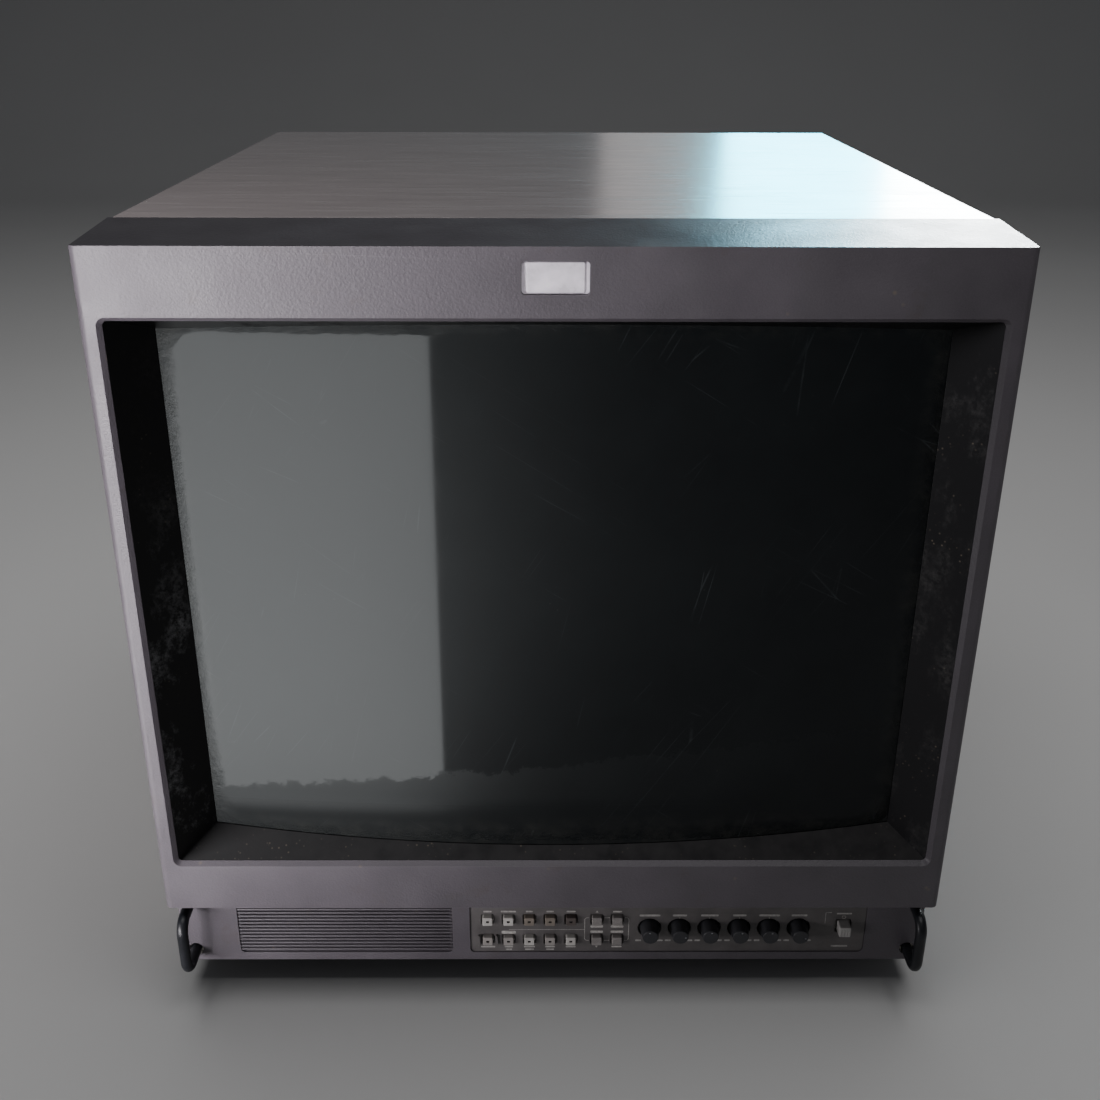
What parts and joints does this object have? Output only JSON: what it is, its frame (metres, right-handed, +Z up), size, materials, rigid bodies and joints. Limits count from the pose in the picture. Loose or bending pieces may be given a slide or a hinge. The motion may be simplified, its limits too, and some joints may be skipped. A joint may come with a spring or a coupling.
{
  "type": "cathode ray tube video monitor",
  "caption": "Boxy cathode ray tube picture monitor with a deep plastic bezel, recessed control panel, rod handles and a vented steel cabinet.",
  "frame": {"origin": "on the supporting surface, at the middle of the overall width and depth", "axes": "+X to the right as the viewer faces the screen, +Y from the screen to the back, +Z up"},
  "size_m": [0.45, 0.503, 0.458],
  "materials": {
    "bezel_plastic": "fine moulded leather grain, satin",
    "mask_plastic": "smooth satin, dusty in the corners",
    "tally_white": "translucent, satin",
    "circuit_board": "green solder mask",
    "grille_plastic": "satin, warm dark grey",
    "speaker_cloth": "woven",
    "speaker_frame": "plated",
    "label_plate": "satin printed film",
    "pot_metal": "plated",
    "power_grey": "satin",
    "black_plastic": "semi-gloss",
    "handle_black": "satin black, worn",
    "zinc_steel": "zinc plated",
    "black_screws": "black oxide",
    "cabinet_paint": "satin, streaked",
    "panel_paint": "satin",
    "nickel": "bright nickel plate",
    "foot_rubber": "matte",
    "tube_glass": "polished, dark tinted",
    "funnel_glass": "graphite coated",
    "grille_steel": "blackened",
    "gun_steel": "polished",
    "coil_tape": "wound tape",
    "yoke_copper": "enamelled windings on ferrite",
    "lead_rubber": "silicone rubber",
    "potting": "potted epoxy",
    "wire_plastic": "insulated wire",
    "button_light": "satin",
    "button_mid": "satin",
    "button_brown": "satin",
    "button_menu": "satin, ridged",
    "knob_black": "satin"
  },
  "bodies": {
    "cabinet": {"ac_inlet": "black_plastic", "anode_lead": "lead_rubber", "aperture_grille": "grille_steel", "audio_jacks": "nickel", "base_tray": "zinc_steel", "bnc_jacks": "nickel", "button_board": "circuit_board", "cabinet_cover": "cabinet_paint", "cabinet_screws": "black_screws", "connector_panel": "panel_paint", "control_fascia": "bezel_plastic", "convergence_rings": "black_plastic", "deflection_yoke": "yoke_copper", "degauss_coil": "coil_tape", "electron_gun": "gun_steel", "feet": "foot_rubber", "flyback_transformer": "potting", "front_bezel": "bezel_plastic", "grille_cloth": "speaker_cloth", "handle_brackets": "zinc_steel", "handle_left": "handle_black", "handle_right": "handle_black", "inner_wiring": "wire_plastic", "label_plate": "label_plate", "machine_screws": "zinc_steel", "main_board": "circuit_board", "neck_board": "circuit_board", "potentiometers": "pot_metal", "power_board": "circuit_board", "power_switch_body": "black_plastic", "rear_cover": "cabinet_paint", "rim_band": "zinc_steel", "screen_mask": "mask_plastic", "speaker": "speaker_frame", "speaker_grille": "grille_plastic", "tally_lamp_board": "circuit_board", "tally_lens": "tally_white", "tube_faceplate": "tube_glass", "tube_funnel": "funnel_glass"},
    "input_1": {"input_button_1": "button_light"},
    "input_2": {"input_button_2": "button_light"},
    "input_3": {"input_button_3": "button_brown"},
    "input_4": {"input_button_4": "button_brown"},
    "input_5": {"input_button_5": "button_brown"},
    "degauss": {"degauss_button": "button_mid"},
    "blue_only": {"blue_only_button": "button_mid"},
    "underscan": {"underscan_button": "button_light"},
    "delay": {"delay_button": "button_mid"},
    "aspect": {"aspect_button": "button_light"},
    "menu_up": {"menu_up_button": "button_menu"},
    "menu": {"menu_button": "button_menu"},
    "menu_down": {"menu_down_button": "button_menu"},
    "enter": {"enter_button": "button_menu"},
    "power": {"power_button": "power_grey"},
    "aperture": {"aperture_knob": "knob_black"},
    "bright": {"bright_knob": "knob_black"},
    "chroma": {"chroma_knob": "knob_black"},
    "phase": {"phase_knob": "knob_black"},
    "contrast": {"contrast_knob": "knob_black"},
    "volume": {"volume_knob": "knob_black"}
  },
  "joints": [
    {"name": "input_1_press", "type": "slide", "parent": "cabinet", "child": "input_1", "axis": [0, 1, 0], "range_m": [0, 0.001], "stiffness_N_per_m": 600, "springref_m": -0.0005},
    {"name": "input_2_press", "type": "slide", "parent": "cabinet", "child": "input_2", "axis": [0, 1, 0], "range_m": [0, 0.001], "stiffness_N_per_m": 600, "springref_m": -0.0005},
    {"name": "input_3_press", "type": "slide", "parent": "cabinet", "child": "input_3", "axis": [0, 1, 0], "range_m": [0, 0.001], "stiffness_N_per_m": 600, "springref_m": -0.0005},
    {"name": "input_4_press", "type": "slide", "parent": "cabinet", "child": "input_4", "axis": [0, 1, 0], "range_m": [0, 0.001], "stiffness_N_per_m": 600, "springref_m": -0.0005},
    {"name": "input_5_press", "type": "slide", "parent": "cabinet", "child": "input_5", "axis": [0, 1, 0], "range_m": [0, 0.001], "stiffness_N_per_m": 600, "springref_m": -0.0005},
    {"name": "degauss_press", "type": "slide", "parent": "cabinet", "child": "degauss", "axis": [0, 1, 0], "range_m": [0, 0.001], "stiffness_N_per_m": 600, "springref_m": -0.0005},
    {"name": "blue_only_press", "type": "slide", "parent": "cabinet", "child": "blue_only", "axis": [0, 1, 0], "range_m": [0, 0.001], "stiffness_N_per_m": 600, "springref_m": -0.0005},
    {"name": "underscan_press", "type": "slide", "parent": "cabinet", "child": "underscan", "axis": [0, 1, 0], "range_m": [0, 0.001], "stiffness_N_per_m": 600, "springref_m": -0.0005},
    {"name": "delay_press", "type": "slide", "parent": "cabinet", "child": "delay", "axis": [0, 1, 0], "range_m": [0, 0.001], "stiffness_N_per_m": 600, "springref_m": -0.0005},
    {"name": "aspect_press", "type": "slide", "parent": "cabinet", "child": "aspect", "axis": [0, 1, 0], "range_m": [0, 0.001], "stiffness_N_per_m": 600, "springref_m": -0.0005},
    {"name": "menu_up_press", "type": "slide", "parent": "cabinet", "child": "menu_up", "axis": [0, 1, 0], "range_m": [0, 0.001], "stiffness_N_per_m": 600, "springref_m": -0.0005},
    {"name": "menu_press", "type": "slide", "parent": "cabinet", "child": "menu", "axis": [0, 1, 0], "range_m": [0, 0.001], "stiffness_N_per_m": 600, "springref_m": -0.0005},
    {"name": "menu_down_press", "type": "slide", "parent": "cabinet", "child": "menu_down", "axis": [0, 1, 0], "range_m": [0, 0.001], "stiffness_N_per_m": 600, "springref_m": -0.0005},
    {"name": "enter_press", "type": "slide", "parent": "cabinet", "child": "enter", "axis": [0, 1, 0], "range_m": [0, 0.001], "stiffness_N_per_m": 600, "springref_m": -0.0005},
    {"name": "power_press", "type": "slide", "parent": "cabinet", "child": "power", "axis": [0, 1, 0], "range_m": [0, 0.003], "stiffness_N_per_m": 500, "springref_m": -0.001},
    {"name": "aperture_turn", "type": "hinge", "parent": "cabinet", "child": "aperture", "pos_m": [0.0589, -0.22825, 0.0449], "axis": [0, 1, 0], "range_deg": [-140, 160]},
    {"name": "bright_turn", "type": "hinge", "parent": "cabinet", "child": "bright", "pos_m": [0.0769, -0.22825, 0.0449], "axis": [0, 1, 0], "range_deg": [-245, 55]},
    {"name": "chroma_turn", "type": "hinge", "parent": "cabinet", "child": "chroma", "pos_m": [0.0949, -0.22825, 0.0449], "axis": [0, 1, 0], "range_deg": [-160, 140]},
    {"name": "phase_turn", "type": "hinge", "parent": "cabinet", "child": "phase", "pos_m": [0.1129, -0.22825, 0.0449], "axis": [0, 1, 0], "range_deg": [-165, 135]},
    {"name": "contrast_turn", "type": "hinge", "parent": "cabinet", "child": "contrast", "pos_m": [0.1309, -0.22825, 0.0449], "axis": [0, 1, 0], "range_deg": [-165, 135]},
    {"name": "volume_turn", "type": "hinge", "parent": "cabinet", "child": "volume", "pos_m": [0.1489, -0.22825, 0.0449], "axis": [0, 1, 0], "range_deg": [-260, 40]}
  ]
}
